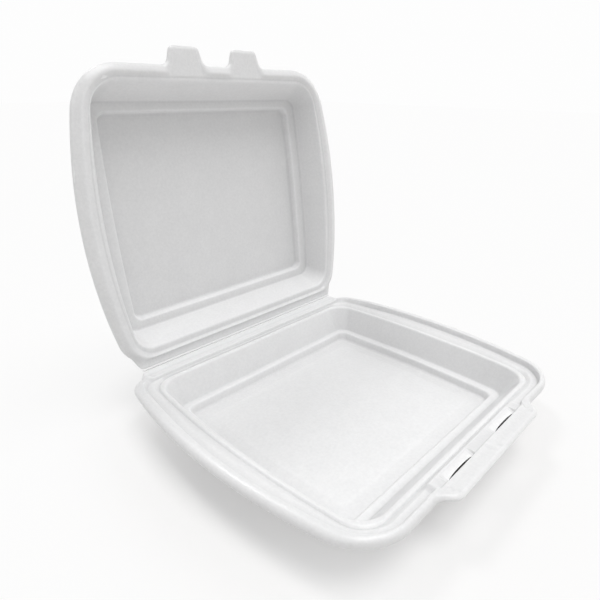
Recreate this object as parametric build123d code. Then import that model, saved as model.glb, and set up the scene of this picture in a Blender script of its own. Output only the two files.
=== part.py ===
from build123d import *
from collections import namedtuple
from math import ceil, hypot, radians, sin, cos, sqrt, tan
import os

# Foam clamshell container: one thermoformed foam sheet in two shells, the tray and
# the lid, joined by a crimped crease. Lengths are in millimetres, angles in degrees.
# Each shell is drawn lying open with its hollow up, its rim in the plane z = 0, the
# hinge crease on the X axis and its front towards -Y.

# Foam sheet and fit
FOAM = 2.5                  # thickness of the sheet
RIM_GAP = 0.4               # play between the two rims when the lid is shut
OPEN_ANGLE = 98.0           # lid from shut to its resting place
OVERRUN = 5.0               # how far a cutter passes beyond what it cuts

# Tray rim, seen from above
TRAY_WIDTH = 240.0          # across the bowed sides
TRAY_DEPTH = 199.0          # hinge crease to front edge
TRAY_SETBACK = 3.5          # hinge crease to the straight back edge
TRAY_CORNER_FRONT = 33.0
TRAY_CORNER_BACK = 19.0
TRAY_BOW = 12.7             # half angle of the bowed side

# Tray rim, in section from the edge inwards
BEAD_SIDE = 7.8             # raised outer bead
BEAD_FRONT = 4.4
BEAD_BACK = 6.0
BEAD_HEIGHT = 4.2
EDGE_HEIGHT = 5.2           # rolled outer edge
SHELF_SIDE = 6.0            # flat shelf inside the bead
SHELF_FRONT = 4.6
SHELF_BACK = 0.6
SLOPE_SIDE = 4.7            # shallow fall from the shelf to the groove
SLOPE_FRONT = 2.8
SLOPE_BACK = 0.6
SLOPE_DROP = 1.3
CREST_RUN = 1.0             # groove up to the small inner bead
CREST_RISE = 0.7
CREST_WIDTH = 2.2

# Tray well
TRAY_WALL_HEIGHT = 17.7
TRAY_DRAFT_SIDE = 24.6
TRAY_DRAFT_FRONT = 33.0
TRAY_DRAFT_BACK = 28.0
TRAY_LEDGE = 6.0            # ledge round the foot of the wall
TRAY_LEDGE_BACK = 5.0
TRAY_STEP_HEIGHT = 6.0
TRAY_STEP_RUN = 1.5
PANEL_MARGIN = 9.0          # floor band round the raised panel
PANEL_RUN = 1.6
PANEL_RISE = 0.6
TRAY_MOUTH_CORNER_FRONT = 17.0
TRAY_MOUTH_CORNER_BACK = 15.0
TRAY_MOUTH_BOW = 6.5
TRAY_FOOT_CORNER = 8.5
TRAY_FOOT_BOW = 4.5
TRAY_FLOOR_CORNER = 5.5
TRAY_FLOOR_BOW = 4.0

# Lid rim: it sits inside the outline of the tray
LID_INSET_SIDE = 4.7
LID_INSET_FRONT = 7.5
LID_SETBACK = 4.3
LID_CORNER_FRONT = 34.0
LID_CORNER_BACK = 20.0
LID_BOW = 13.5
CROWN_SIDE = 10.3           # wide rounded bead
CROWN_FRONT = 7.0
CROWN_BACK = 3.2
CROWN_RUN = 1.0             # bead down to the narrow seat
CROWN_DROP = 1.6
SEAT_SIDE = 2.8             # narrow seat inside the bead
SEAT_FRONT = 2.2
SEAT_BACK = 4.2

# Lid well
LID_WALL_HEIGHT = 20.2
LID_DRAFT_SIDE = 22.6
LID_DRAFT_FRONT = 26.1
LID_DRAFT_BACK = 21.9
LID_LEDGE_SIDE = 8.0
LID_LEDGE_FRONT = 6.0
LID_LEDGE_BACK = 6.2
LID_STEP_HEIGHT = 5.5
LID_STEP_RUN = 1.3
LID_MOUTH_CORNER_FRONT = 20.0
LID_MOUTH_CORNER_BACK = 14.0
LID_MOUTH_BOW = 9.0
LID_FOOT_CORNER = 8.0
LID_FOOT_BOW = 3.5
LID_PANEL_CORNER = 6.0
LID_PANEL_BOW = 2.5

# How far each kind of bend is rounded, and the longest straight run in it
EASE_FLOOR = 2.4
EASE_LEDGE = 1.8
EASE_MOUTH = 2.4
BEND_RUN = 2.5

# Shares of the bead width at which the bead turns, from the outer edge
CREST_START_SHARE = 0.38
CREST_END_SHARE = 0.9
EDGE_INSIDE_SHARE = 0.3
HOLLOW_SHARE = 0.54
HOLLOW_FOOT_SHARE = 0.68
ROLL_HEIGHT_SHARE = 0.65
BEND_LIMIT_SHARE = 0.45     # longest part of a run that one bend may take

# Hinge crease
HINGE_LENGTH = 193.0
CREASE_RADIUS = 0.9
CREASE_CLEARANCE = 0.3
WEB_THICKNESS = 1.6
WEB_LAP = 5.0               # how far a web runs into its rim
LAND_DROP = 2.0             # tray rim pressed down beside the hinge
LAND_LENGTH = 176.0
LID_WEB_DROP = 0.8          # lid web below the crown of its rim

# Latch: two tabs on the lid, two pockets with slits and a finger lip on the tray
LATCH_SPACING = 53.0
TAB_REACH = 11.5
TAB_ROOT = 27.5
TAB_TIP = 22.0
TAB_FLARE = 36.0
TAB_DROP = 1.4
TAB_RAMP = 5.0              # slope up to the beaded tip
TAB_NOSE = 2.0
TAB_ROOT_RADIUS = 4.0
TAB_TIP_RADIUS = 3.5
LATCH_EDGE = 2.3            # front edge of the rim to the slits
PAD_LENGTH = 106.0          # shelf raised behind the lip
PAD_DROP = 1.8
PAD_SLANT = 4.0
SLIT_LENGTH = 27.5
SLIT_WIDTH = 1.3
POCKET_LENGTH = 31.0
POCKET_REACH = 5.4          # pocket floor, falling to the slit
POCKET_DEPTH = 1.8
LIP_REACH = 8.5
LIP_ROOT = 113.0
LIP_TIP = 98.0
LIP_DROP = 0.4
LIP_LAP = 3.0
LIP_ROOT_RADIUS = 5.0
LIP_TIP_RADIUS = 4.0
LIP_EDGE_ROUND = 0.8

# Outline of one shell: its overall size, before any inset
Outline = namedtuple("Outline", "width depth setback")

# One closed line round a shell: insets from the outline, height, corners and bow
Line = namedtuple("Line", "side front back z corner_front corner_back bow ease")


def mix(first, second, share):
    """The line that lies a share of the way from the first to the second."""
    return Line(*(a + (b - a) * share for a, b in zip(first, second)))


def further_in(line, side, front, back, drop, **changes):
    """A line set inwards from another, and lower by drop."""
    moved = line._replace(
        side=line.side + side, front=line.front + front, back=line.back + back, z=line.z - drop
    )
    return moved._replace(**changes)


def bead_line(edge, bead, share, z, ease=0):
    """A line on the outer bead, at a share of its width from the edge."""
    return mix(edge, bead, share)._replace(z=z, ease=ease)


def outer_face(foot, top):
    """The foot and top of a wall's outer face, one sheet thickness from its inner face."""
    rise = top.z - foot.z
    lines = []
    for end in (foot, top):
        inner = mix(foot, top, (end.z - FOAM - foot.z) / rise)
        insets = {}
        for name in ("side", "front", "back"):
            slope = (getattr(foot, name) - getattr(top, name)) / rise
            insets[name] = getattr(inner, name) - FOAM * sqrt(1 + slope ** 2)
        lines.append(inner._replace(
            corner_front=end.corner_front + FOAM, corner_back=end.corner_back + FOAM, ease=0, **insets
        ))
    return lines


def eased(lines):
    """The same lines with every bend of the section rounded into short runs."""
    result = [lines[0]]
    for before, here, after in zip(lines, lines[1:], lines[2:]):
        shares = []
        for other in (before, after):
            distance = hypot(other.side - here.side, other.z - here.z)
            shares.append(min(here.ease / distance, BEND_LIMIT_SHARE))
        if here.ease == 0:
            result.append(here)
            continue
        start = mix(here, before, shares[0])
        end = mix(here, after, shares[1])
        runs = ceil(here.ease / BEND_RUN)
        for run in range(runs + 1):
            t = run / runs
            result.append(mix(mix(start, here, t), mix(here, end, t), t))
    result.append(lines[-1])
    return result


def arc(centre, radius, start, end, z):
    """Arc about a centre, from a start angle to an end angle in radians."""
    points = [
        (centre[0] + radius * cos(angle), centre[1] + radius * sin(angle), z)
        for angle in (start, (start + end) / 2, end)
    ]
    return Edge.make_three_point_arc(*points)


def ring(outline, line):
    """Closed wire: straight front and back, bowed sides and round corners."""
    bow = radians(line.bow)
    quarter = radians(90)
    half_turn = radians(180)
    reach = outline.width / 2 - line.side
    front = line.front - outline.depth
    back = -outline.setback - line.back
    rise_front = line.corner_front * (1 - sin(bow))
    rise_back = line.corner_back * (1 - sin(bow))
    span = back - front - rise_front - rise_back
    swing = span / (2 * sin(bow))
    middle = front + rise_front + span / 2
    end = reach - swing * (1 - cos(bow))
    x_front = end - line.corner_front * cos(bow)
    x_back = end - line.corner_back * cos(bow)
    y_front = front + line.corner_front
    y_back = back - line.corner_back
    z = line.z
    return Wire([
        Edge.make_line((-x_front, front, z), (x_front, front, z)),
        arc((x_front, y_front), line.corner_front, -quarter, -bow, z),
        arc((reach - swing, middle), swing, -bow, bow, z),
        arc((x_back, y_back), line.corner_back, bow, quarter, z),
        Edge.make_line((x_back, back, z), (-x_back, back, z)),
        arc((-x_back, y_back), line.corner_back, quarter, half_turn - bow, z),
        arc((swing - reach, middle), swing, half_turn - bow, half_turn + bow, z),
        arc((-x_front, y_front), line.corner_front, half_turn + bow, half_turn + quarter, z),
    ])


def shell(outline, lines):
    """Foam shell lofted along its section, from the floor over the rim to the underside."""
    return Solid.make_loft([ring(outline, line) for line in eased(lines)], ruled=True)


def tray_lines():
    """Section of the tray: inside from the floor to the edge, then back along the underside."""
    edge = Line(0, 0, 0, 0, TRAY_CORNER_FRONT, TRAY_CORNER_BACK, TRAY_BOW, 0)
    crest = -RIM_GAP / 2
    bead = edge._replace(
        side=BEAD_SIDE, front=BEAD_FRONT, back=BEAD_BACK, z=crest - BEAD_HEIGHT,
        corner_front=TRAY_CORNER_FRONT - BEAD_SIDE, corner_back=TRAY_CORNER_BACK - BEAD_BACK,
    )
    shelf = further_in(
        bead, SHELF_SIDE, SHELF_FRONT, SHELF_BACK, 0, ease=0, bow=(TRAY_BOW + TRAY_MOUTH_BOW) / 2,
        corner_front=(bead.corner_front + TRAY_MOUTH_CORNER_FRONT) / 2,
        corner_back=(bead.corner_back + TRAY_MOUTH_CORNER_BACK) / 2,
    )
    groove = further_in(
        shelf, SLOPE_SIDE, SLOPE_FRONT, SLOPE_BACK, SLOPE_DROP, bow=TRAY_MOUTH_BOW,
        corner_front=TRAY_MOUTH_CORNER_FRONT, corner_back=TRAY_MOUTH_CORNER_BACK,
    )
    rise = further_in(groove, CREST_RUN, CREST_RUN, CREST_RUN, -CREST_RISE)
    mouth = further_in(rise, CREST_WIDTH, CREST_WIDTH, CREST_WIDTH, 0, ease=EASE_MOUTH)
    foot = further_in(
        mouth, *(TRAY_WALL_HEIGHT * tan(radians(draft)) for draft in (
            TRAY_DRAFT_SIDE, TRAY_DRAFT_FRONT, TRAY_DRAFT_BACK)),
        TRAY_WALL_HEIGHT, ease=0, bow=TRAY_FOOT_BOW,
        corner_front=TRAY_FOOT_CORNER, corner_back=TRAY_FOOT_CORNER,
    )
    step = further_in(
        foot, TRAY_LEDGE, TRAY_LEDGE, TRAY_LEDGE_BACK, 0, ease=EASE_LEDGE, bow=TRAY_FLOOR_BOW,
        corner_front=TRAY_FLOOR_CORNER, corner_back=TRAY_FLOOR_CORNER,
    )
    floor = further_in(
        step, TRAY_STEP_RUN, TRAY_STEP_RUN, TRAY_STEP_RUN, TRAY_STEP_HEIGHT, ease=EASE_FLOOR
    )
    band = further_in(floor, PANEL_MARGIN, PANEL_MARGIN, PANEL_MARGIN, 0, ease=0)
    panel = further_in(band, PANEL_RUN, PANEL_RUN, PANEL_RUN, -PANEL_RISE)
    wall_out = outer_face(foot, mouth)
    step_out = outer_face(floor, step)
    return [
        panel, band, floor, step, foot, mouth, rise, groove, shelf, bead,
        bead_line(edge, bead, CREST_END_SHARE, crest),
        bead_line(edge, bead, CREST_START_SHARE, crest, EASE_MOUTH),
        bead_line(edge, bead, 0, crest - EDGE_HEIGHT * ROLL_HEIGHT_SHARE),
        bead_line(edge, bead, EDGE_INSIDE_SHARE, crest - EDGE_HEIGHT),
        bead_line(edge, bead, HOLLOW_SHARE, crest - FOAM),
        bead_line(edge, bead, HOLLOW_FOOT_SHARE, bead.z - FOAM),
        wall_out[1]._replace(z=bead.z - FOAM), wall_out[0], step_out[1], step_out[0],
    ]


def lid_lines():
    """Section of the lid: inside from the panel to the edge, then back along the outside."""
    edge = Line(0, 0, 0, 0, LID_CORNER_FRONT, LID_CORNER_BACK, LID_BOW, 0)
    crest = -RIM_GAP / 2
    crown = edge._replace(
        side=CROWN_SIDE, front=CROWN_FRONT, back=CROWN_BACK, z=crest, ease=0,
        bow=(LID_BOW + LID_MOUTH_BOW) / 2,
        corner_front=LID_CORNER_FRONT - CROWN_SIDE, corner_back=LID_CORNER_BACK - CROWN_BACK,
    )
    seat = further_in(crown, CROWN_RUN, CROWN_RUN, CROWN_RUN, CROWN_DROP)
    mouth = further_in(
        seat, SEAT_SIDE, SEAT_FRONT, SEAT_BACK, 0, bow=LID_MOUTH_BOW,
        corner_front=LID_MOUTH_CORNER_FRONT, corner_back=LID_MOUTH_CORNER_BACK,
    )
    foot = further_in(
        mouth, *(LID_WALL_HEIGHT * tan(radians(draft)) for draft in (
            LID_DRAFT_SIDE, LID_DRAFT_FRONT, LID_DRAFT_BACK)),
        LID_WALL_HEIGHT, ease=0, bow=LID_FOOT_BOW,
        corner_front=LID_FOOT_CORNER, corner_back=LID_FOOT_CORNER,
    )
    step = further_in(
        foot, LID_LEDGE_SIDE, LID_LEDGE_FRONT, LID_LEDGE_BACK, 0, ease=EASE_LEDGE, bow=LID_PANEL_BOW,
        corner_front=LID_PANEL_CORNER, corner_back=LID_PANEL_CORNER,
    )
    panel = further_in(step, LID_STEP_RUN, LID_STEP_RUN, LID_STEP_RUN, LID_STEP_HEIGHT)
    wall_out = outer_face(foot, mouth)
    step_out = outer_face(panel, step)
    hollow = crest - FOAM
    return [
        panel, step, foot, mouth, seat, crown,
        bead_line(edge, crown, CREST_START_SHARE, crest, EASE_MOUTH),
        bead_line(edge, crown, 0, crest - EDGE_HEIGHT * ROLL_HEIGHT_SHARE, EASE_MOUTH),
        bead_line(edge, crown, EDGE_INSIDE_SHARE, crest - EDGE_HEIGHT),
        bead_line(edge, crown, HOLLOW_SHARE, hollow),
        bead_line(edge, crown, CREST_END_SHARE, hollow),
        wall_out[1], wall_out[0], step_out[1], step_out[0],
    ]


def across(points, length):
    """Prism of a Y-Z profile, centred on the YZ plane."""
    face = make_face(Polyline(*((0, y, z) for y, z in points), close=True))
    return extrude(face, amount=length / 2, dir=(1, 0, 0), both=True)


def along(points, start, end):
    """Prism of an X-Z profile, from one Y to another."""
    face = make_face(Polyline(*((x, start, z) for x, z in points), close=True))
    return extrude(face, amount=end - start, dir=(0, 1, 0))


def plate(points, rounds, bottom, top):
    """Flat plate of an X-Y outline, with the listed corners rounded."""
    outline = make_face(Polyline(*points, close=True))
    for x, y, radius in rounds:
        corner = outline.vertices().sort_by_distance((x, y, 0))[0]
        outline = fillet(corner, radius)
    return extrude(Pos(0, 0, bottom) * outline, amount=top - bottom)


def block(x_range, y_range, z_range):
    """Box between two X, two Y and two Z values."""
    size = [high - low for low, high in (x_range, y_range, z_range)]
    centre = [(high + low) / 2 for low, high in (x_range, y_range, z_range)]
    return Pos(*centre) * Box(*size)


def hinge_web(setback, land):
    """Thinned strip of foam from the crease to the straight back edge of a rim."""
    top = -RIM_GAP / 2
    end = -CREASE_CLEARANCE
    back = -setback
    return across([
        (end, top), (back, top - land), (back - WEB_LAP, top - land - FOAM / 2),
        (back - WEB_LAP, top - land - FOAM), (back, top - land - FOAM), (end, top - WEB_THICKNESS),
    ], HINGE_LENGTH)


def make_tray():
    """Tray with its hinge land, crease bead, finger lip, pockets and slits."""
    lines = tray_lines()
    outline = Outline(TRAY_WIDTH, TRAY_DEPTH, TRAY_SETBACK)
    crest = -RIM_GAP / 2
    shelf = crest - BEAD_HEIGHT
    bead_foot = BEAD_FRONT - TRAY_DEPTH
    tray = shell(outline, lines)

    # Rim pressed down beside the hinge, then the web and the round crease
    land_front = -TRAY_SETBACK - BEAD_BACK
    tray -= block(
        (-LAND_LENGTH / 2, LAND_LENGTH / 2), (land_front, OVERRUN), (crest - LAND_DROP, OVERRUN))
    tray += hinge_web(TRAY_SETBACK, LAND_DROP)
    tray += Rot(0, 90, 0) * Cylinder(CREASE_RADIUS, HINGE_LENGTH)

    # Finger lip
    lip_top = crest - LIP_DROP
    lip_back = LIP_LAP - TRAY_DEPTH
    lip_front = -TRAY_DEPTH - LIP_REACH
    root = LIP_ROOT / 2
    tip = LIP_TIP / 2
    outer = root + LIP_ROOT_RADIUS
    edge = EDGE_INSIDE_SHARE * BEAD_FRONT - TRAY_DEPTH
    corners = [(sign * x, y, radius) for sign in (-1, 1) for x, y, radius in (
        (root, edge, LIP_ROOT_RADIUS), (tip, lip_front, LIP_TIP_RADIUS))]
    lip = plate([
        (-outer, lip_back), (-outer, edge), (-root, edge), (-tip, lip_front),
        (tip, lip_front), (root, edge), (outer, edge), (outer, lip_back),
    ], corners, lip_top - FOAM, lip_top)
    front_edge = lip.faces().sort_by(Axis.Y)[0].edges().sort_by(Axis.Z)[-1]
    lip = chamfer(front_edge, LIP_EDGE_ROUND)
    tray += lip

    # Shelf raised behind the lip, with two pockets that fall to a slit each
    half = PAD_LENGTH / 2
    low = half - PAD_SLANT
    pad_top = crest - PAD_DROP
    latch_edge = LATCH_EDGE - TRAY_DEPTH
    shelf_end = bead_foot + SHELF_FRONT
    tray += along([
        (-half, shelf), (-low, pad_top), (low, pad_top), (half, shelf), (half, shelf - FOAM / 2),
        (-half, shelf - FOAM / 2),
    ], latch_edge, shelf_end)
    tray -= along([
        (-low, pad_top), (-half, OVERRUN), (half, OVERRUN), (low, pad_top),
    ], latch_edge, shelf_end)
    for place in (-LATCH_SPACING / 2, LATCH_SPACING / 2):
        tray -= Pos(place, 0, 0) * across([
            (latch_edge, pad_top + OVERRUN), (latch_edge, pad_top - POCKET_DEPTH),
            (latch_edge + POCKET_REACH, pad_top), (latch_edge + POCKET_REACH, pad_top + OVERRUN),
        ], POCKET_LENGTH)
        tray -= block(
            (place - SLIT_LENGTH / 2, place + SLIT_LENGTH / 2), (latch_edge, latch_edge + SLIT_WIDTH),
            (shelf - FOAM - OVERRUN, pad_top))
    return tray


def make_lid():
    """Lid with its hinge web and its two tabs."""
    outline = Outline(
        TRAY_WIDTH - 2 * LID_INSET_SIDE, TRAY_DEPTH - LID_INSET_FRONT, LID_SETBACK)
    crest = -RIM_GAP / 2
    lid = shell(outline, lid_lines())
    lid += hinge_web(LID_SETBACK, LID_WEB_DROP)
    lid -= Rot(0, 90, 0) * Cylinder(CREASE_RADIUS + CREASE_CLEARANCE, HINGE_LENGTH + OVERRUN)

    # Tabs: the bead is pressed flat across each one and its tip is beaded again
    front = -outline.depth
    inner = front + CROWN_FRONT
    tip = front - TAB_REACH
    top = crest - TAB_DROP
    low = top - FOAM
    edge = front + EDGE_INSIDE_SHARE * CROWN_FRONT
    for place in (-LATCH_SPACING / 2, LATCH_SPACING / 2):
        lid -= block(
            (place - TAB_TIP / 2, place + TAB_TIP / 2), (front - OVERRUN, inner), (top, OVERRUN))
        rounds = [(place + sign * x, y, radius) for sign in (-1, 1) for x, y, radius in (
            (TAB_ROOT / 2, edge, TAB_ROOT_RADIUS), (TAB_TIP / 2, tip, TAB_TIP_RADIUS))]
        tab = plate([
            (place - TAB_FLARE / 2, inner), (place - TAB_FLARE / 2, edge), (place - TAB_ROOT / 2, edge),
            (place - TAB_TIP / 2, tip), (place + TAB_TIP / 2, tip), (place + TAB_ROOT / 2, edge),
            (place + TAB_FLARE / 2, edge), (place + TAB_FLARE / 2, inner),
        ], rounds, low, crest)
        tab &= Pos(place, 0, 0) * across([
            (inner, low), (inner, top), (tip + TAB_NOSE + TAB_RAMP, top), (tip + TAB_NOSE, crest),
            (tip, crest - TAB_NOSE), (tip, low),
        ], TAB_FLARE + OVERRUN)
        lid += tab
    return lid


os.makedirs("parts", exist_ok=True)
TRAY = make_tray()
LID = make_lid()

# The container stands on its tray: origin under the middle of the foot
foot_line = tray_lines()[-1]
rim_height = -foot_line.z
foot_middle = (foot_line.front - TRAY_DEPTH - TRAY_SETBACK - foot_line.back) / 2
place = Pos(0, -foot_middle, rim_height)
export_step(place * TRAY, "parts/base_tray.step")
export_step(place * Rot(180 - OPEN_ANGLE, 0, 0) * Rot(0, 0, 180) * LID, "parts/lid.step")
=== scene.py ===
import math
import bmesh
import bpy
import numpy as np
from mathutils import Matrix, Vector, geometry, noise


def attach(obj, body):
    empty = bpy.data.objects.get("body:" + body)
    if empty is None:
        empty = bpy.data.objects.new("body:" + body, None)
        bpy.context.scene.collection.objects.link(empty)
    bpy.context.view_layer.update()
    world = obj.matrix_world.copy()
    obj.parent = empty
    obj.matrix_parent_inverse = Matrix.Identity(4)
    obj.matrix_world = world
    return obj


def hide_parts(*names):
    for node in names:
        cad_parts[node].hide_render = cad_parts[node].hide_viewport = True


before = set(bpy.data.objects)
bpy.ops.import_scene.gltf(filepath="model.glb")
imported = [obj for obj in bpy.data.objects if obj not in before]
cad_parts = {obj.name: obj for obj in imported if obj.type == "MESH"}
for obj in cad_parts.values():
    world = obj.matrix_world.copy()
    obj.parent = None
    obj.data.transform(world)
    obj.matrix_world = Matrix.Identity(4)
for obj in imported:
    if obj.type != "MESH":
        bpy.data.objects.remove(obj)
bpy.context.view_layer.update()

# Foam clamshell container. Each shell is drawn in millimetres with its hollow up, its
# rim in the plane z = 0, the hinge crease on the X axis and its front towards -Y.

MM = 0.001
FOAM = 2.5
CREST = -0.2
OPEN_ANGLE = 98.0
HINGE = (0.0, 97.408, 31.2)

# Outlines: width across the bowed sides, crease to front edge, crease to back edge
TRAY_OUTLINE = (240.0, 199.0, 3.5)
LID_OUTLINE = (230.6, 191.5, 4.3)
FRONT_SPAN = 64.0
SPAN_SLACK = 0.01
MIDDLE_Y = -120.0

# A section line: insets from the outline, height, corner radii and half angle of the bow
SIDE, FRONT, BACK, Z, CORNER_FRONT, CORNER_BACK, BOW = range(7)
INSETS = [SIDE, FRONT, BACK]

# Rolled edge of both shells
EDGE_HEIGHT = 5.2
ROLL_DROP = 0.6 * EDGE_HEIGHT

# Tray section from the edge inwards. Three values are for the side, the front and the back.
TRAY_CORNERS = (33.0, 16.5)
TRAY_BOW = 12.7
BEAD = (7.8, 4.4, 6.0)
BEAD_HEIGHT = 4.2
SHELF = (6.0, 4.6, 0.6)
SLOPE = (4.7, 2.8, 0.6)
SLOPE_DROP = 1.7
INNER_BEAD_RUN = 1.0
INNER_BEAD_RISE = 1.1
INNER_BEAD_WIDTH = 2.2
TRAY_WALL_HEIGHT = 17.7
TRAY_DRAFTS = (24.6, 33.0, 28.0)
TRAY_LEDGE = (6.0, 6.0, 5.0)
TRAY_STEP_RUN = 1.5
TRAY_STEP_HEIGHT = 6.0
FLOOR_BAND = 9.0
PANEL_RUN = 2.4
PANEL_RISE = 0.4
PANEL_EDGE = 3.0
TRAY_SOLE = 12.0
POCKET_SHARE = 0.25

# Lid section from the edge inwards
LID_CORNERS = (34.0, 20.0)
LID_BOW = 13.5
CROWN = (10.3, 7.0, 3.2)
CROWN_RUN = 1.0
CROWN_DROP = 1.6
SEAT = (2.8, 2.2, 4.2)
LID_WALL_HEIGHT = 20.2
LID_DRAFTS = (22.6, 26.1, 21.9)
LID_LEDGE = (8.0, 6.0, 6.2)
LID_STEP_RUN = 1.3
LID_STEP_HEIGHT = 5.5
LID_PANEL_EDGE = 6.0
LID_SOLE = 10.0

# Lines across each bead: share of its width from the edge, height from the crest, ease of the bend
TRAY_BEAD_LINES = {
    "crest_end": (0.86, -0.35, 0.9),
    "crest_in": (0.73, 0.0, 0.4),
    "crest_mid": (0.6, 0.12, 0.4),
    "crest_out": (0.38, -0.2, 1.2),
    "crest_start": (0.14, -1.15, 1.3),
    "roll": (0.0, -ROLL_DROP, 1.6),
    "trim": (0.05, -EDGE_HEIGHT, 0.7),
    "edge_in": (0.3, -EDGE_HEIGHT, 0.7),
    "hollow": (0.46, -FOAM, 0.7),
    "hollow_end": (0.58, -FOAM, 0.6),
    "hollow_foot": (0.68, -BEAD_HEIGHT - FOAM, 0.8),
}
LID_BEAD_LINES = {
    "crown": (1.0, -0.95, 0.5),
    "crown_mid": (0.67, 0.15, 1.0),
    "crown_out": (0.36, -0.8, 1.3),
    "crest_start": (0.13, -1.9, 1.2),
    "roll": (0.0, -ROLL_DROP, 1.8),
    "trim": (0.04, -EDGE_HEIGHT, 0.7),
    "edge_in": (0.26, -EDGE_HEIGHT, 0.7),
    "hollow": (0.5, -FOAM, 0.9),
    "hollow_end": (0.9, -FOAM, 0.7),
}

# Finger lip of the tray: insets from its edge and heights from its top
LIP_REACH = 8.5
LIP_ROOT = 56.5
LIP_TIP = 49.0
LIP_ROUND = 8.5
LIP_PITCH = 0.9
LIP_TOP = -0.6
LIP_FADE_START = LIP_ROOT + 5.0
LIP_FADE_END = LIP_TIP + 2.0
LIP_LINES = {
    "crest_end": (None, 0.1),
    "crest_in": (6.8, 0.15),
    "crest_mid": (4.9, 0.15),
    "crest_out": (3.3, 0.1),
    "crest_start": (1.9, 0.0),
    "roll": (0.0, -1.5),
    "trim": (0.7, -2.9),
    "edge_in": (1.8, -2.9),
    "hollow": (7.5, -2.7),
}
CRUMPLE = 0.6
CRUMPLE_LENGTHS = (3.6, 2.4)
CRUMPLE_SEED = 2.0
CRUMPLED_LINES = ("crest_end", "crest_in", "crest_mid", "crest_out")
END_CRUMPLE_PLACE = 48.5
END_CRUMPLE_SPREAD = 4.5
MIDDLE_CRUMPLE_SPREAD = 7.5
MIDDLE_CRUMPLE_SHARE = 0.8

# Raised shelf behind the lip, with a pocket and a slit on each side
LATCH_PLACE = 27.0
LATCH_EDGE = -196.7
PAD_HALF = 53.0
PAD_SLANT = 4.0
PAD_TOP = -2.0
POCKET_HALF = 15.5
POCKET_END = 0.7
POCKET_REACH = 5.4
POCKET_DEPTH = 1.8
POCKET_SAG = 0.1
POCKET_FOOT = 0.3
LIP_BACK = 0.1
SLIT_HALF = 13.75
SLIT_WIDTH = 1.9
SLIT_FULLNESS = 0.35
SLIT_LAP = 0.05
SLIT_RUNS = 24
BLADE_LOW = -14.0
BLADE_TOP = -2.3

# Tabs of the lid: insets from their edge and heights from their top
TAB_PLACE = 25.3
TAB_REACH = 11.5
TAB_ROOT = 14.6
TAB_TIP = 11.3
TAB_ROOT_ROUND = 5.0
TAB_TIP_ROUND = 4.0
TAB_PITCH = 0.8
TAB_TOP = CREST - 1.2
TAB_FADE = 4.0
TAB_SLIDE = 3.0
TAB_LINES = {
    "crown": (None, 0.0),
    "crown_mid": (None, 0.0),
    "crown_out": (3.4, 0.1),
    "crest_start": (1.5, -0.05),
    "roll": (0.0, -1.2),
    "trim": (0.5, -2.4),
    "edge_in": (1.5, -2.5),
    "hollow": (None, -2.5),
    "hollow_end": (None, -2.5),
}

# Hinge: places from the crease and heights of the lines that run out to it
HINGE_HALF = 101.0
HINGE_FADE = 6.0
LAND_DROP = 2.0
LAND = CREST - LAND_DROP
TRAY_HINGE_LINES = {
    "crest_end": (-9.0, LAND),
    "crest_in": (-7.8, LAND),
    "crest_mid": (-6.5, LAND),
    "crest_out": (-5.3, LAND),
    "crest_start": (-4.2, LAND),
    "roll": (-0.5, -0.5),
    "trim": (-0.5, -1.4),
    "edge_in": (-2.6, -3.0),
    "hollow": (-5.6, LAND - FOAM),
}
LID_HINGE_LINES = {
    "crown_out": (-5.4, -0.75),
    "crest_start": (-3.6, -1.0),
    "roll": (-0.6, -0.5),
    "trim": (-0.6, -1.4),
    "edge_in": (-2.6, -2.8),
    "hollow": (-5.0, -3.4),
}

# The tray's bead sinks towards its back corners
SINK_START = -44.0
SINK_END = -2.0
SINK_PULL = 0.45
SINK_LINES = {
    "crest_end": 1.7,
    "crest_in": 1.65,
    "crest_mid": 1.6,
    "crest_out": 1.5,
    "crest_start": 1.4,
    "roll": 0.4,
}

# Crimped crease bead
CREASE_RADIUS = 0.8
CREASE_HALF = HINGE_HALF - 4.8
CREASE_END = 3.0
CREASE_TIP = 0.02
CREASE_ROWS = 190
CREASE_SIDES = 24
CREASE_WAVES = ((0.07, 2.1, 0), (0.06, 9.0, 3))

# Points round a shell, across its bends and over its panels
FLANK_RUNS = 8
FRONT_CORNER_RUNS = 24
SIDE_RUNS = 54
BACK_CORNER_RUNS = 22
REAR_RUNS = 60
FRONT_CORNER_GAP = 2.0
POINT_GAP = 0.12
POCKET_FINE_IN = 3.0
POCKET_FINE_OUT = 1.0
POCKET_FINE_POINTS = 14
PATH_CORNER_RUNS = 10
BEND_SHARE = 0.47
SHORTEST_RUN = 1e-6
BEND_PITCH = 0.4
BEND_RUNS = (3, 7)
SPOT_ROW = 4.5
SPOT_PITCH = 5.2
SPOT_START = 4.0
SPOT_END = 3.0
SPOT_CLEAR = 2.5

# Unevenness of drawn foam: height and length of each wave, and dish of the inner and outer panels
WAVES = ((0.2, 38.0), (0.06, 9.0))
DISH_SHARE = 0.6
TRAY_DISHES = (0.25, 0.3)
LID_DISHES = (-0.3, -0.3)

# Foam skin
FOAM_DARK = (0.74, 0.74, 0.744, 1)
FOAM_LIGHT = (0.806, 0.806, 0.808, 1)
FOAM_GREYS = ((0.3, FOAM_DARK), (0.7, FOAM_LIGHT))
# Painted shade in the grooves and painted highlight on the crests and edges, set by how sharply the surface
# bends
PAINTED_GROOVE_SHADE_AND_CREST_LIGHT = (
    (0.44, (0.7, 0.7, 0.705, 1)),
    (0.5, (1, 1, 1, 1)),
    (0.56, (1.16, 1.16, 1.16, 1)),
)
CLOUD_SHARE = 0.3
CELL_SCALE = 900
# Painted shade on the walls of the slits, near black, where the white foam lies in deep shade
SLIT_PAINTED_SHADE = (0.015, 0.014, 0.013, 1)

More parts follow.
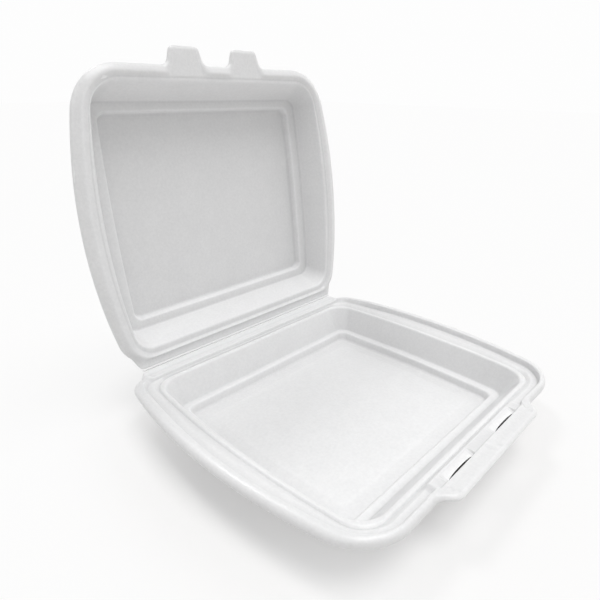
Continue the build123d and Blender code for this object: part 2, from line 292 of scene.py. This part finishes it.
# Studio, in metres. A lamp has the way it shines, its energy, its spread and whether it shows in the gloss.
WHITE = (0.985, 0.985, 0.985, 1)
SKY_STRENGTH = 0.285
FLOOR_HALF = 6.0
FLOOR_DROP = 0.0002
FLOOR_COLOUR = (0.85, 0.842, 0.835, 1)
SHADE_HALF = (0.12, 0.108)
SHADE_RANGE = (0.75, 1.7)
SHADE_GLOW = (0.33, 0.87)
LAMPS = (
    ("front_lamp", (-0.08, 0.27, -1), 1.55, 36, True),
    ("rear_lamp", (0, -0.62, -1), 0.62, 14, True),
    ("right_lamp", (-1.3, 0.5, -1), 0.56, 34, False),
    ("left_lamp", (1.1, 0.5, -1), 0.32, 30, True),
)

# Camera, in millimetres from the middle of the crease
CAMERA_SPOT = (-235.04, -275.02, 177.46)
CAMERA_AIM = (25.13, -29.63, 24.95)
CAMERA_ROLL = 0.986
CAMERA_SENSOR = 36.0
CAMERA_LENS = 30.05
CAMERA_NEAR = 0.01


def smooth(value, low, high):
    """Smooth step from 0 at low to 1 at high, which may lie either way round."""
    t = np.clip((value - low) / (high - low), 0, 1)
    return t * t * (3 - 2 * t)


def blend(a, b, share):
    return a + (b - a) * share


def further_in(line, insets, drop, corner_front=None, corner_back=None, bow=None):
    """A section line set inwards from another, and lower by drop."""
    new = np.array(line, float)
    new[INSETS] += insets
    new[Z] -= drop
    for place, value in ((CORNER_FRONT, corner_front), (CORNER_BACK, corner_back), (BOW, bow)):
        if value is not None:
            new[place] = value
    return new


def wall_runs(height, drafts):
    """How far a wall leans in at the side, front and back, from its draft angles."""
    return [height * math.tan(math.radians(draft)) for draft in drafts]


def outer_face(foot, top):
    """The foot and top of a wall's outer face, one sheet thickness from its inner face."""
    rise = top[Z] - foot[Z]
    slope = (foot[INSETS] - top[INSETS]) / rise
    lines = []
    for end in (foot, top):
        inner = blend(foot, top, (end[Z] - FOAM - foot[Z]) / rise)
        inner[INSETS] -= FOAM * np.sqrt(1 + slope ** 2)
        inner[CORNER_FRONT] = end[CORNER_FRONT] + FOAM
        inner[CORNER_BACK] = end[CORNER_BACK] + FOAM
        lines.append(inner)
    return lines


def at_height(line, z):
    new = np.array(line, float)
    new[Z] = z
    return new


def across_bead(edge, inner, lines):
    """Section lines across a bead, each with its ease."""
    return {name: (at_height(blend(edge, inner, share), CREST + rise), ease)
            for name, (share, rise, ease) in lines.items()}


def rounded_path(points, radii, pitch):
    """A polyline with round corners, sampled closely, and its inward normals."""
    path = [np.array(points[0], float)]
    corners = [np.array(p, float) for p in points]

    def run_to(end):
        start = path[-1]
        count = max(1, int(math.ceil(np.linalg.norm(end - start) / pitch)))
        path.extend(start + (end - start) * k / count for k in range(1, count + 1))

    for before, here, after, radius in zip(corners, corners[1:], corners[2:], radii):
        u = (before - here) / np.linalg.norm(before - here)
        v = (after - here) / np.linalg.norm(after - here)
        half = math.acos(float(np.clip(u @ v, -1, 1))) / 2
        cut_back = radius / math.tan(half)
        start, end = here + u * cut_back, here + v * cut_back
        run_to(start)
        centre = here + (u + v) / np.linalg.norm(u + v) * radius / math.sin(half)
        for k in range(1, PATH_CORNER_RUNS + 1):
            p = blend(start, end, k / PATH_CORNER_RUNS) - centre
            path.append(centre + p / np.linalg.norm(p) * radius)
    run_to(corners[-1])
    path = np.array(path)
    step = np.gradient(path, axis=0)
    step /= np.linalg.norm(step, axis=1)[:, None]
    return path[:, 0], path[:, 1], np.column_stack([step[:, 1], step[:, 0]])


def with_extra(x, extra):
    """Sorted values with more of them where a feature starts or ends."""
    values = np.unique(np.concatenate([x, extra]))
    return values[np.concatenate([[True], np.diff(values) > POINT_GAP])]


def ring(outline, line, front_x):
    """One closed line round a shell, from the middle of the front anticlockwise."""
    width, depth, setback = outline
    side, front, back, z, corner_front, corner_back, bow = line
    bow = math.radians(bow)
    quarter = math.pi / 2
    y_front, y_back = front - depth, -setback - back
    rise_front = corner_front * (1 - math.sin(bow))
    span = y_back - y_front - rise_front - corner_back * (1 - math.sin(bow))
    swing = span / (2 * math.sin(bow))
    middle = y_front + rise_front + span / 2
    reach = width / 2 - side
    end = reach - swing * (1 - math.cos(bow))
    x_front = end - corner_front * math.cos(bow)
    x_back = end - corner_back * math.cos(bow)

    def arc(cx, cy, radius, start, stop, count):
        a = np.linspace(start, stop, count + 1)[1:]
        return np.column_stack([cx + radius * np.cos(a), cy + radius * np.sin(a)])

    def straight(x, y):
        return np.column_stack([x, np.full(len(x), y)])

    front_x = front_x * min(1.0, (x_front - FRONT_CORNER_GAP) / front_x[-1])
    flank = np.linspace(front_x[-1], x_front, FLANK_RUNS + 1)[1:]
    rear = np.linspace(x_back, 0, REAR_RUNS + 1)[1:]
    half = np.vstack([
        straight(front_x, y_front),
        straight(flank, y_front),
        arc(x_front, y_front + corner_front, corner_front, -quarter, -bow, FRONT_CORNER_RUNS),
        arc(reach - swing, middle, swing, -bow, bow, SIDE_RUNS),
        arc(x_back, y_back - corner_back, corner_back, bow, quarter, BACK_CORNER_RUNS),
        straight(rear, y_back),
    ])
    other = half[-2:0:-1] * (-1, 1)
    full = np.vstack([half, other])
    return np.column_stack([full, np.full(len(full), z)])


def part_of_run(run, ease):
    """The part of each straight run that a bend takes up, at most about half of it."""
    length = np.maximum(np.linalg.norm(run, axis=1), SHORTEST_RUN)
    return run * np.minimum(ease / length, BEND_SHARE)[:, None]


def rounded(points, eases):
    """The section at every place round the shell, with each bend rounded."""
    rows = [points[0]]
    for k in range(1, len(points) - 1):
        ease = eases[k]
        if not ease:
            rows.append(points[k])
            continue
        here = points[k]
        start, end = (here + part_of_run(run, ease) for run in (points[k - 1] - here, points[k + 1] - here))
        runs = int(np.clip(math.ceil(ease / BEND_PITCH), *BEND_RUNS))
        for t in np.linspace(0, 1, runs + 1):
            rows.append(blend(blend(start, here, t), blend(here, end, t), t))
    rows.append(points[-1])
    return np.array(rows)


class Shell:
    """Section lines of one shell, each a closed line of points, from the inner panel to the sole."""

    def __init__(self, outline, named, front_x):
        self.eases = [ease for line, ease in named.values()]
        self.lines = {name: ring(outline, line, front_x) for name, (line, ease) in named.items()}
        self.edge_y = -outline[1]
        roll, middle = self.lines["roll"], self.lines["middle"]
        self.across = np.abs(roll[:, 0])
        self.hand = np.sign(middle[:, 0])
        self.front = (self.across <= FRONT_SPAN + SPAN_SLACK) & (roll[:, 1] < MIDDLE_Y)
        self.back = middle[:, 1] > MIDDLE_Y

    def at_front(self, weight):
        return np.where(self.front, weight, 0)

    def at_hinge(self):
        """Weight of the hinge strip, 1 along it and fading at its ends."""
        return np.where(self.back, smooth(self.across, HINGE_HALF, HINGE_HALF - HINGE_FADE), 0)

    def push_out(self, path, weight, top, lines, slide=None):
        """Moves lines of the front out to a lip or a tab, at insets from its edge."""
        x, reach, normal = path
        out = self.at_front(np.interp(self.across, x, reach))
        nx = self.at_front(np.interp(self.across, x, normal[:, 0])) * self.hand
        ny = np.where(self.front, np.interp(self.across, x, normal[:, 1]), 1)
        sideways = weight if slide is None else smooth(out, 0.0, slide)
        for name, (inset, rise) in lines.items():
            p = self.lines[name]
            if inset is not None:
                i = blend(p[:, 1] - self.edge_y, inset, weight)
                p[:, 1] = np.where(self.front, self.edge_y - out + ny * i, p[:, 1])
                p[:, 0] = np.where(self.front, p[:, 0] + nx * i * sideways, p[:, 0])
            p[:, 2] = blend(p[:, 2], top + rise, weight)

    def pull_to(self, weight, lines):
        """Moves lines to a place across the shell and to a height, where these are given."""
        for name, (y, z) in lines.items():
            p = self.lines[name]
            if y is not None:
                p[:, 1] = blend(p[:, 1], y, weight)
            if z is not None:
                p[:, 2] = blend(p[:, 2], z, weight)

    def lower(self, name, drop):
        self.lines[name][:, 2] -= drop

    def rows(self):
        return rounded(np.array(list(self.lines.values())), self.eases)


def tray_lines():
    """Section lines of the tray, each with its ease."""
    edge = np.array([0, 0, 0, CREST, *TRAY_CORNERS, TRAY_BOW], float)
    bead = further_in(edge, BEAD, BEAD_HEIGHT, corner_front=25.2, corner_back=12)
    shelf = further_in(bead, SHELF, 0, corner_front=21.1, corner_back=14, bow=9.6)
    groove = further_in(shelf, SLOPE, SLOPE_DROP, corner_front=17, corner_back=15, bow=6.5)
    rise = further_in(groove, INNER_BEAD_RUN, -INNER_BEAD_RISE)
    mouth = further_in(rise, INNER_BEAD_WIDTH, 0)
    foot = further_in(mouth, wall_runs(TRAY_WALL_HEIGHT, TRAY_DRAFTS), TRAY_WALL_HEIGHT,
                      corner_front=8.5, corner_back=8.5, bow=4.5)
    step = further_in(foot, TRAY_LEDGE, 0, corner_front=5.5, corner_back=5.5, bow=4.0)
    floor = further_in(step, TRAY_STEP_RUN, TRAY_STEP_HEIGHT)
    band = further_in(floor, FLOOR_BAND, 0)
    raised = further_in(band, PANEL_RUN, -PANEL_RISE)
    wall_out, wall_out_top = outer_face(foot, mouth)
    step_out, step_out_top = outer_face(floor, step)
    return {
        "middle": (further_in(raised, PANEL_EDGE, 0), 0),
        "panel": (raised, 1.1),
        "band": (band, 1.1),
        "floor": (floor, 2.2),
        "step": (step, 1.5),
        "foot": (foot, 1.2),
        "mouth": (mouth, 1.8),
        "rise": (rise, 0.5),
        "groove": (groove, 0.5),
        "shelf": (shelf, 0.5),
        "pocket": (blend(shelf, bead, POCKET_SHARE), 0.3),
        "bead": (bead, 0.6),
        **across_bead(edge, bead, TRAY_BEAD_LINES),
        "wall_out_top": (at_height(wall_out_top, bead[Z] - FOAM), 2.0),
        "wall_out": (wall_out, 2.4),
        "step_out_top": (step_out_top, 1.4),
        "step_out": (step_out, 1.2),
        "sole": (further_in(step_out, TRAY_SOLE, 0), 0),
    }


def lid_lines():
    """Section lines of the lid, each with its ease."""
    edge = np.array([0, 0, 0, CREST, *LID_CORNERS, LID_BOW], float)
    crown = further_in(edge, CROWN, 0, corner_front=23.7, corner_back=16.8, bow=11.25)
    seat = further_in(crown, CROWN_RUN, CROWN_DROP)
    mouth = further_in(seat, SEAT, 0, corner_front=20, corner_back=14, bow=9.0)
    foot = further_in(mouth, wall_runs(LID_WALL_HEIGHT, LID_DRAFTS), LID_WALL_HEIGHT,
                      corner_front=8, corner_back=8, bow=3.5)
    step = further_in(foot, LID_LEDGE, 0, corner_front=6, corner_back=6, bow=2.5)
    deep = further_in(step, LID_STEP_RUN, LID_STEP_HEIGHT)
    wall_out, wall_out_top = outer_face(foot, mouth)
    step_out, step_out_top = outer_face(deep, step)
    return {
        "middle": (further_in(deep, LID_PANEL_EDGE, 0), 0),
        "panel": (deep, 1.7),
        "step": (step, 1.3),
        "foot": (foot, 1.3),
        "mouth": (mouth, 1.6),
        "seat": (seat, 0.5),
        **across_bead(edge, crown, LID_BEAD_LINES),
        "wall_out_top": (wall_out_top, 1.6),
        "wall_out": (wall_out, 2.4),
        "step_out_top": (step_out_top, 1.4),
        "step_out": (step_out, 2.4),
        "sole": (further_in(step_out, LID_SOLE, 0), 0),
    }


def form_lip(shell, path):
    """Finger lip: the bead runs flat out to its edge."""
    weight = shell.at_front(smooth(shell.across, LIP_FADE_START, LIP_FADE_END))
    shell.push_out(path, weight, LIP_TOP, LIP_LINES)


def crumple_lip(shell):
    """Crumples at the ends of the lip and between the slits, where the sheet is drawn most."""
    ends = np.exp(-((shell.across - END_CRUMPLE_PLACE) / END_CRUMPLE_SPREAD) ** 2)
    middle = np.exp(-(shell.across / MIDDLE_CRUMPLE_SPREAD) ** 2)
    drawn = shell.at_front(ends + MIDDLE_CRUMPLE_SHARE * middle)
    along, out = CRUMPLE_LENGTHS
    for name in CRUMPLED_LINES:
        p = shell.lines[name]
        uneven = [noise.noise(Vector((x / along, y / out, CRUMPLE_SEED))) for x, y, z in p]
        p[:, 2] += CRUMPLE * drawn * np.array(uneven)


def form_latch(shell):
    """Shelf raised behind the lip, with two pockets that fall to the slits."""
    weight = shell.at_front(smooth(shell.across, PAD_HALF, PAD_HALF - PAD_SLANT))
    shell.pull_to(weight, {
        "shelf": (None, PAD_TOP),
        "pocket": (LATCH_EDGE + POCKET_REACH, PAD_TOP),
        "bead": (LATCH_EDGE + POCKET_FOOT, PAD_TOP),
        "crest_end": (LATCH_EDGE - LIP_BACK, None),
    })
    far = np.abs(shell.across - LATCH_PLACE)
    weight = shell.at_front(smooth(far, POCKET_HALF, POCKET_HALF - POCKET_END))
    shell.lower("bead", POCKET_DEPTH * weight)
    shell.lower("pocket", POCKET_SAG * weight)


def form_tray_hinge(shell):
    """The back of the bead is pressed down and runs out to the crease."""
    weight = shell.at_hinge()
    sink = np.where(shell.back, smooth(shell.lines["roll"][:, 1], SINK_START, SINK_END), 0)
    for name, drop in SINK_LINES.items():
        shell.lower(name, drop * sink * (1 - weight))
    share = np.where(shell.back, SINK_PULL * sink * (1 - weight), 0)[:, None]
    shell.lines["crest_end"] = blend(shell.lines["crest_end"], shell.lines["crest_mid"], share)
    shell.pull_to(weight, TRAY_HINGE_LINES)
    shell.lower("hollow_end", LAND_DROP * weight)


def tray_rows():
    path = rounded_path([(0, LIP_REACH), (LIP_TIP, LIP_REACH), (LIP_ROOT, 0), (FRONT_SPAN, 0)],
                        (LIP_ROUND, LIP_ROUND), LIP_PITCH)
    near_ends = np.linspace(POCKET_HALF - POCKET_FINE_IN, POCKET_HALF + POCKET_FINE_OUT, POCKET_FINE_POINTS)
    pocket_ends = np.concatenate([LATCH_PLACE - near_ends, LATCH_PLACE + near_ends])
    shell = Shell(TRAY_OUTLINE, tray_lines(), with_extra(path[0], pocket_ends))
    form_lip(shell, path)
    crumple_lip(shell)
    form_latch(shell)
    form_tray_hinge(shell)
    return shell.rows()


def lid_rows():
    path = rounded_path(
        [(0, 0), (TAB_PLACE - TAB_ROOT, 0), (TAB_PLACE - TAB_TIP, TAB_REACH),
         (TAB_PLACE + TAB_TIP, TAB_REACH), (TAB_PLACE + TAB_ROOT, 0), (FRONT_SPAN, 0)],
        (TAB_ROOT_ROUND, TAB_TIP_ROUND, TAB_TIP_ROUND, TAB_ROOT_ROUND), TAB_PITCH)
    shell = Shell(LID_OUTLINE, lid_lines(), path[0])
    # The bead is pressed flat across each tab, and its back runs out to the crease
    far = np.abs(shell.across - TAB_PLACE)
    weight = shell.at_front(smooth(far, TAB_ROOT + TAB_FADE, TAB_TIP))
    shell.push_out(path, weight, TAB_TOP, TAB_LINES, slide=TAB_SLIDE)
    shell.pull_to(shell.at_hinge(), LID_HINGE_LINES)
    return shell.rows()


def crease_rows():
    """Crimped bead along the hinge, with closed round ends."""
    rows = []
    turns = np.linspace(0, 2 * math.pi, CREASE_SIDES + 1)[:-1]
    for x in np.linspace(-CREASE_HALF, CREASE_HALF, CREASE_ROWS):
        near_tip = max(0, (abs(x) - CREASE_HALF + CREASE_END) / CREASE_END)
        end = min(1.0, math.sqrt(max(CREASE_TIP, 1 - near_tip ** 2)))
        waves = [size * noise.noise(Vector((x / length, seed, 0))) for size, length, seed in CREASE_WAVES]
        radius = CREASE_RADIUS * end * (1 + sum(waves))
        rows.append([(x, radius * math.cos(t), radius * math.sin(t)) for t in turns])
    return np.array(rows)


def ripple(points):
    """Uneven drawing of the sheet: small moves along Z, in a long and a short wave."""
    for size, length in WAVES:
        points[:, 2] += size * np.array([noise.noise(Vector(p) / length) for p in points])


def panel(row, dish):
    """Inner points and triangles that close a flat panel inside one line, slightly dished."""
    low, high = row.min(0), row.max(0)
    middle, half = (low + high) / 2, (high - low) / 2
    spots = []
    for k, y in enumerate(np.arange(low[1] + SPOT_START, high[1] - SPOT_END, SPOT_ROW)):
        shift = SPOT_PITCH / 2 * (k % 2)
        for x in np.arange(low[0] + SPOT_START + shift, high[0] - SPOT_END, SPOT_PITCH):
            spots.append((x, y))
    near = np.min(np.linalg.norm(np.array(spots)[:, None] - row[None, :, :2], axis=2), axis=1)
    spots = np.array(spots)[near > SPOT_CLEAR]
    flat = [Vector(p[:2]) for p in row] + [Vector(p) for p in spots]
    edges = [(k, (k + 1) % len(row)) for k in range(len(row))]
    points, _, faces, _, _, _ = geometry.delaunay_2d_cdt(flat, edges, [], 1, 1e-5)
    if len(points) != len(flat):
        raise ValueError("panel outline crosses itself")
    share = np.clip(1 - np.max(np.abs(spots - middle[:2]) / half[:2], axis=1), 0, 1)
    inner = np.column_stack([spots, middle[2] + dish * smooth(share, 0, DISH_SHARE)])
    return inner, faces


def add_object(name, data):
    obj = bpy.data.objects.new(name, data)
    bpy.context.scene.collection.objects.link(obj)
    return obj


def skin(name, rows, place, material, dishes=None):
    """Closed mesh of a shell from its rows, moved to its place."""
    count, around = rows.shape[:2]
    points = rows.reshape(-1, 3)
    faces = []
    for k in range(count - 1):
        for i in range(around):
            j = (i + 1) % around
            faces.append((k * around + i, k * around + j, (k + 1) * around + j, (k + 1) * around + i))
    for row, dish in zip((0, count - 1), dishes or (None, None)):
        start = row * around
        if dish is None:
            faces.append(tuple(range(start, start + around)))
            continue
        inner, triangles = panel(rows[row], dish)
        shift = len(points) - around
        points = np.vstack([points, inner])
        faces += [tuple(start + v if v < around else shift + v for v in t) for t in triangles]
    if dishes:
        ripple(points)
    mesh = bpy.data.meshes.new(name)
    mesh.from_pydata([place @ Vector(p) * MM for p in points], [], faces)
    mesh.update()
    work = bmesh.new()
    work.from_mesh(mesh)
    bmesh.ops.recalc_face_normals(work, faces=work.faces)
    work.to_mesh(mesh)
    work.free()
    mesh.polygons.foreach_set("use_smooth", [True] * len(mesh.polygons))
    mesh.materials.append(material)
    return add_object(name, mesh)


def slit_blade(latch_place, shell_place, shade):
    """Blade of a slit along the lip, straight on the side of the lip and bulged opposite."""
    outline = []
    for t in np.linspace(-1, 1, SLIT_RUNS + 1):
        outline.append((latch_place + SLIT_HALF * t, LATCH_EDGE - SLIT_LAP))
    for t in np.linspace(1, -1, SLIT_RUNS + 1)[1:-1]:
        bulge = SLIT_WIDTH * (1 - t * t) ** SLIT_FULLNESS
        outline.append((latch_place + SLIT_HALF * t, LATCH_EDGE + bulge))
    count = len(outline)
    points = [(px, py, z) for z in (BLADE_LOW, BLADE_TOP) for px, py in outline]
    faces = [tuple(range(count - 1, -1, -1)), tuple(range(count, 2 * count))]
    faces += [(k, (k + 1) % count, count + (k + 1) % count, count + k) for k in range(count)]
    mesh = bpy.data.meshes.new("slit_blade")
    mesh.from_pydata([shell_place @ Vector(p) * MM for p in points], [], faces)
    mesh.materials.append(None)
    # The blade's faces carry the painted shade, near black, onto the walls of the slit
    mesh.materials.append(shade)
    mesh.polygons.foreach_set("material_index", [1] * len(faces))
    return add_object("slit_blade", mesh)


def cut(obj, blades):
    """Subtracts the blades from a mesh and removes them."""
    for blade in blades:
        change = obj.modifiers.new("cut", "BOOLEAN")
        change.operation = "DIFFERENCE"
        change.solver = "MANIFOLD"
        # The slit walls take the painted shade of the blades
        change.material_mode = "TRANSFER"
        change.object = blade
    view = bpy.context.evaluated_depsgraph_get()
    mesh = bpy.data.meshes.new_from_object(obj.evaluated_get(view))
    work = bmesh.new()
    work.from_mesh(mesh)
    for edge in work.edges:
        edge.smooth = len({face.material_index for face in edge.link_faces}) == 1
    work.to_mesh(mesh)
    work.free()
    obj.modifiers.clear()
    obj.data = mesh
    for blade in blades:
        bpy.data.objects.remove(blade)


def set_inputs(node, values):
    for name, value in values.items():
        node.inputs[name].default_value = value


def new_material(name, **values):
    """Material with plain values on its shader, with its node tree and that shader."""
    material = bpy.data.materials.new(name)
    material.use_nodes = True
    shader = material.node_tree.nodes["Principled BSDF"]
    set_inputs(shader, {key.replace("_", " "): value for key, value in values.items()})
    return material, material.node_tree, shader


def foam_material():
    """White foam skin: fine cells, drawn cloudy patches, painted shade in the grooves, painted highlight on
    the crests and a soft dull gloss.
    """
    material, tree, shader = new_material("foam_skin", Roughness=0.3, Specular_IOR_Level=0.5)
    nodes, links = tree.nodes, tree.links
    place = nodes.new("ShaderNodeTexCoord")

    def grain(scale, detail, roughness):
        node = nodes.new("ShaderNodeTexNoise")
        set_inputs(node, {"Scale": scale, "Detail": detail, "Roughness": roughness})
        links.new(place.outputs["Object"], node.inputs["Vector"])
        return node.outputs["Fac"]

    def tones(value, stops):
        node = nodes.new("ShaderNodeValToRGB")
        elements = node.color_ramp.elements
        for element, (position, colour) in zip((elements[0], elements[1]), (stops[0], stops[-1])):
            element.position = position
            element.color = colour
        for position, colour in stops[1:-1]:
            elements.new(position).color = colour
        links.new(value, node.inputs["Fac"])
        return node.outputs["Color"]

    def bump(height, strength, distance, under=None):
        node = nodes.new("ShaderNodeBump")
        set_inputs(node, {"Strength": strength, "Distance": distance})
        links.new(height, node.inputs["Height"])
        if under is not None:
            links.new(under, node.inputs["Normal"])
        return node.outputs["Normal"]

    cells = nodes.new("ShaderNodeTexVoronoi")
    set_inputs(cells, {"Scale": CELL_SCALE})
    links.new(place.outputs["Object"], cells.inputs["Vector"])
    fine = grain(scale=520, detail=3, roughness=0.6)
    cloud = grain(scale=60, detail=4, roughness=0.55)

    mix = nodes.new("ShaderNodeMix")
    set_inputs(mix, {"Factor": CLOUD_SHARE})
    links.new(fine, mix.inputs["A"])
    links.new(cloud, mix.inputs["B"])
    bends = nodes.new("ShaderNodeNewGeometry")
    grain_and_painted_shade = nodes.new("ShaderNodeMix")
    grain_and_painted_shade.data_type = "RGBA"
    grain_and_painted_shade.blend_type = "MULTIPLY"
    set_inputs(grain_and_painted_shade, {"Factor": 1.0})
    links.new(tones(mix.outputs["Result"], FOAM_GREYS), grain_and_painted_shade.inputs["A"])
    # Painted shade in the grooves and painted highlight on the crests, from the pointiness of the mesh
    links.new(tones(bends.outputs["Pointiness"], PAINTED_GROOVE_SHADE_AND_CREST_LIGHT), grain_and_painted_shade.inputs["B"])
    links.new(grain_and_painted_shade.outputs["Result"], shader.inputs["Base Color"])

    pores = bump(cells.outputs["Distance"], strength=0.25, distance=0.0002)
    links.new(bump(fine, strength=0.22, distance=0.0004, under=pores), shader.inputs["Normal"])
    return material


def build_box():
    """Tray with its two slits, lid and crease, each riding on its body."""
    tray_place = Matrix.Translation(Vector(HINGE))
    lid_turn = Matrix.Rotation(math.radians(180 - OPEN_ANGLE), 4, "X")
    lid_place = tray_place @ lid_turn @ Matrix.Rotation(math.pi, 4, "Z")
    foam = foam_material()
    # Painted shade for the walls of the slits
    shade = new_material("slit_shade", Base_Color=SLIT_PAINTED_SHADE, Roughness=0.9)[0]
    tray = skin("tray_shell", tray_rows(), tray_place, foam, TRAY_DISHES)
    cut(tray, [slit_blade(side * LATCH_PLACE, tray_place, shade) for side in (1, -1)])
    lid = skin("lid_shell", lid_rows(), lid_place, foam, LID_DISHES)
    crease = skin("hinge_crease", crease_rows(), tray_place, foam)
    for piece, body in ((tray, "base"), (crease, "base"), (lid, "lid")):
        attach(piece, body)
    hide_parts("base_tray")
    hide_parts("lid")


def seen_rays(tree):
    """Share of a ray that looks at the studio: from the camera, a gloss or a clear body."""
    path = tree.nodes.new("ShaderNodeLightPath")
    value = path.outputs["Is Camera Ray"]
    for name in ("Is Glossy Ray", "Is Transmission Ray"):
        either = tree.nodes.new("ShaderNodeMath")
        either.operation = "MAXIMUM"
        tree.links.new(value, either.inputs[0])
        tree.links.new(path.outputs[name], either.inputs[1])
        value = either.outputs["Value"]
    return value


def choose_shader(tree, share, first, second, output):
    """Joins two shaders into the output of a node tree."""
    choose = tree.nodes.new("ShaderNodeMixShader")
    tree.links.new(share, choose.inputs["Fac"])
    tree.links.new(first, choose.inputs[1])
    tree.links.new(second, choose.inputs[2])
    tree.links.new(choose.outputs["Shader"], tree.nodes[output].inputs["Surface"])


def add_sky():
    """Even soft light all round, which looks white itself."""
    world = bpy.data.worlds.new("studio")
    bpy.context.scene.world = world
    world.use_nodes = True
    tree = world.node_tree
    light = tree.nodes["Background"]
    set_inputs(light, {"Color": (1, 1, 1, 1), "Strength": SKY_STRENGTH})
    white = tree.nodes.new("ShaderNodeBackground")
    set_inputs(white, {"Color": WHITE, "Strength": 1.0})
    choose_shader(tree, seen_rays(tree), light.outputs["Background"], white.outputs["Background"],
                  "World Output")


def floor_material():
    """Pale floor that keeps the shadow under the box and fades to white away from it."""
    material, tree, shader = new_material(
        "floor_white", Base_Color=FLOOR_COLOUR, Roughness=0.9, Specular_IOR_Level=0.0)
    nodes, links = tree.nodes, tree.links
    glow = nodes.new("ShaderNodeEmission")
    set_inputs(glow, {"Color": WHITE})
    place = nodes.new("ShaderNodeNewGeometry")
    scale = nodes.new("ShaderNodeVectorMath")
    scale.operation = "MULTIPLY"
    scale.inputs[1].default_value = (1 / SHADE_HALF[0], 1 / SHADE_HALF[1], 0)
    links.new(place.outputs["Position"], scale.inputs[0])
    length = nodes.new("ShaderNodeVectorMath")
    length.operation = "LENGTH"
    links.new(scale.outputs["Vector"], length.inputs[0])
    fade = nodes.new("ShaderNodeMapRange")
    fade.interpolation_type = "SMOOTHSTEP"
    set_inputs(fade, {"From Min": SHADE_RANGE[0], "From Max": SHADE_RANGE[1]})
    set_inputs(fade, {"To Min": SHADE_GLOW[0], "To Max": SHADE_GLOW[1]})
    links.new(length.outputs["Value"], fade.inputs["Value"])
    share = nodes.new("ShaderNodeMath")
    share.operation = "MULTIPLY"
    links.new(seen_rays(tree), share.inputs[0])
    links.new(fade.outputs["Result"], share.inputs[1])
    choose_shader(tree, share.outputs["Value"], shader.outputs["BSDF"], glow.outputs["Emission"],
                  "Material Output")
    return material


def add_floor():
    mesh = bpy.data.meshes.new("floor")
    corners = [(-1, -1), (1, -1), (1, 1), (-1, 1)]
    mesh.from_pydata([(x * FLOOR_HALF, y * FLOOR_HALF, 0) for x, y in corners], [], [(0, 1, 2, 3)])
    mesh.materials.append(floor_material())
    floor = add_object("floor", mesh)
    floor.location.z = -FLOOR_DROP


def add_lamps():
    for name, way, energy, spread, in_gloss in LAMPS:
        lamp = bpy.data.lights.new(name, "SUN")
        lamp.energy = energy
        lamp.angle = math.radians(spread)
        obj = add_object(name, lamp)
        obj.rotation_euler = Vector(way).to_track_quat("-Z", "Y").to_euler()
        obj.visible_glossy = in_gloss


def add_camera():
    """Camera at the place from which the photograph was taken."""
    spot = Vector(CAMERA_SPOT) + Vector(HINGE)
    aim = Vector(CAMERA_AIM) + Vector(HINGE)
    forward = (aim - spot).normalized()
    right = forward.cross(Vector((0, 0, 1))).normalized()
    up = right.cross(forward)
    level = Matrix((right, up, -forward)).transposed().to_4x4()
    data = bpy.data.cameras.new("camera")
    data.sensor_width = CAMERA_SENSOR
    data.lens = CAMERA_LENS
    data.clip_start = CAMERA_NEAR
    camera = add_object("camera", data)
    roll = Matrix.Rotation(math.radians(CAMERA_ROLL), 4, "Z")
    camera.matrix_world = Matrix.Translation(spot * MM) @ level @ roll
    bpy.context.scene.camera = camera


build_box()
bpy.context.scene.view_settings.view_transform = "Standard"
add_sky()
add_floor()
add_lamps()
add_camera()
